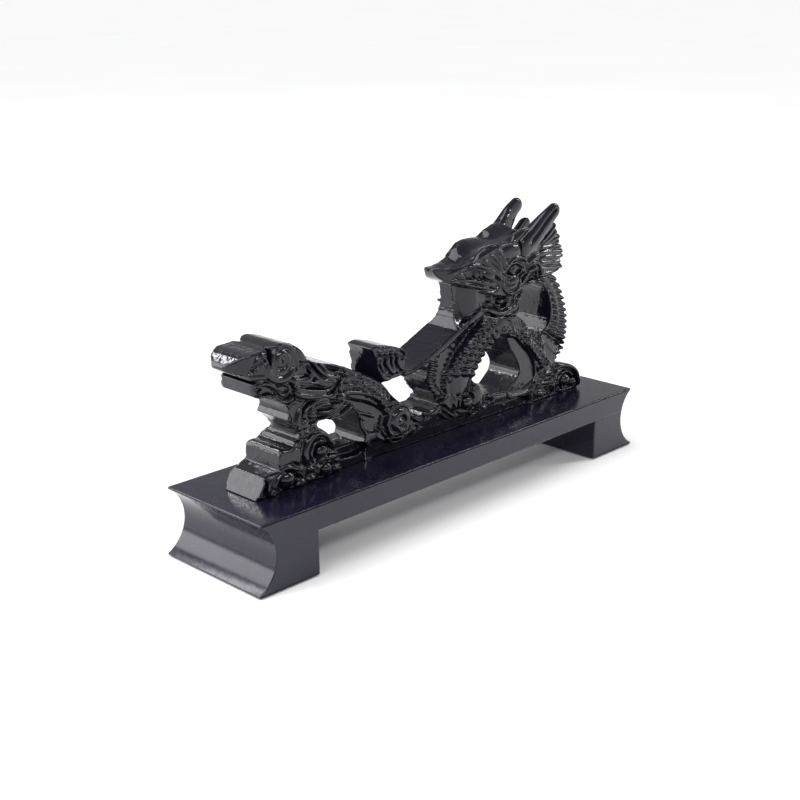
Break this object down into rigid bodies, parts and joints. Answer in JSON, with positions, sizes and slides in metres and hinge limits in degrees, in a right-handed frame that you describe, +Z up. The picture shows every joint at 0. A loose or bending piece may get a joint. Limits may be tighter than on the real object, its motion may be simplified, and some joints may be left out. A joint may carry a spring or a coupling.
{
  "type": "desk brush and ink stick rest",
  "caption": "Low lacquered bench carrying a through-carved dragon whose claw and saddle notches hold a brush, pen or ink stick laid across them.",
  "frame": {"origin": "on the ground, below the middle of the bench", "axes": "+X along the bench towards the big head, +Y away from the near side, +Z up"},
  "size_m": [0.254, 0.0624, 0.1326],
  "materials": {
    "bench_lacquer": "satin black lacquer",
    "carving_lacquer": "gloss black lacquer",
    "pearl_lacquer": "polished black lacquer",
    "dowel_wood": "plain beech",
    "felt": "black felt",
    "screw_brass": "zinc-yellow wood screw"
  },
  "bodies": {
    "root": {"bench_board": "bench_lacquer", "left_foot": "bench_lacquer", "right_foot": "bench_lacquer", "foot_dowels": "dowel_wood", "foot_pads": "felt", "carving_screws": "screw_brass", "rock_plinth": "carving_lacquer", "left_post": "carving_lacquer", "left_scroll": "carving_lacquer", "middle_scroll": "carving_lacquer", "right_scroll": "carving_lacquer", "end_cloud": "carving_lacquer", "cloud_pearls": "pearl_lacquer", "small_head": "carving_lacquer", "small_jaw": "carving_lacquer", "small_mane": "carving_lacquer", "beard_swirl": "carving_lacquer", "neck_band": "carving_lacquer", "claw_rest": "carving_lacquer", "saddle": "carving_lacquer", "throat": "carving_lacquer", "breast": "carving_lacquer", "front_coil": "carving_lacquer", "rear_coil": "carving_lacquer", "hind_claw": "carving_lacquer", "back_arch": "carving_lacquer", "big_head": "carving_lacquer", "lower_jaw": "carving_lacquer", "near_horn": "carving_lacquer", "far_horn": "carving_lacquer", "near_ear": "carving_lacquer", "far_ear": "carving_lacquer", "near_mane": "carving_lacquer", "far_mane": "carving_lacquer", "near_eye": "pearl_lacquer", "far_eye": "pearl_lacquer"}
  },
  "joints": []
}
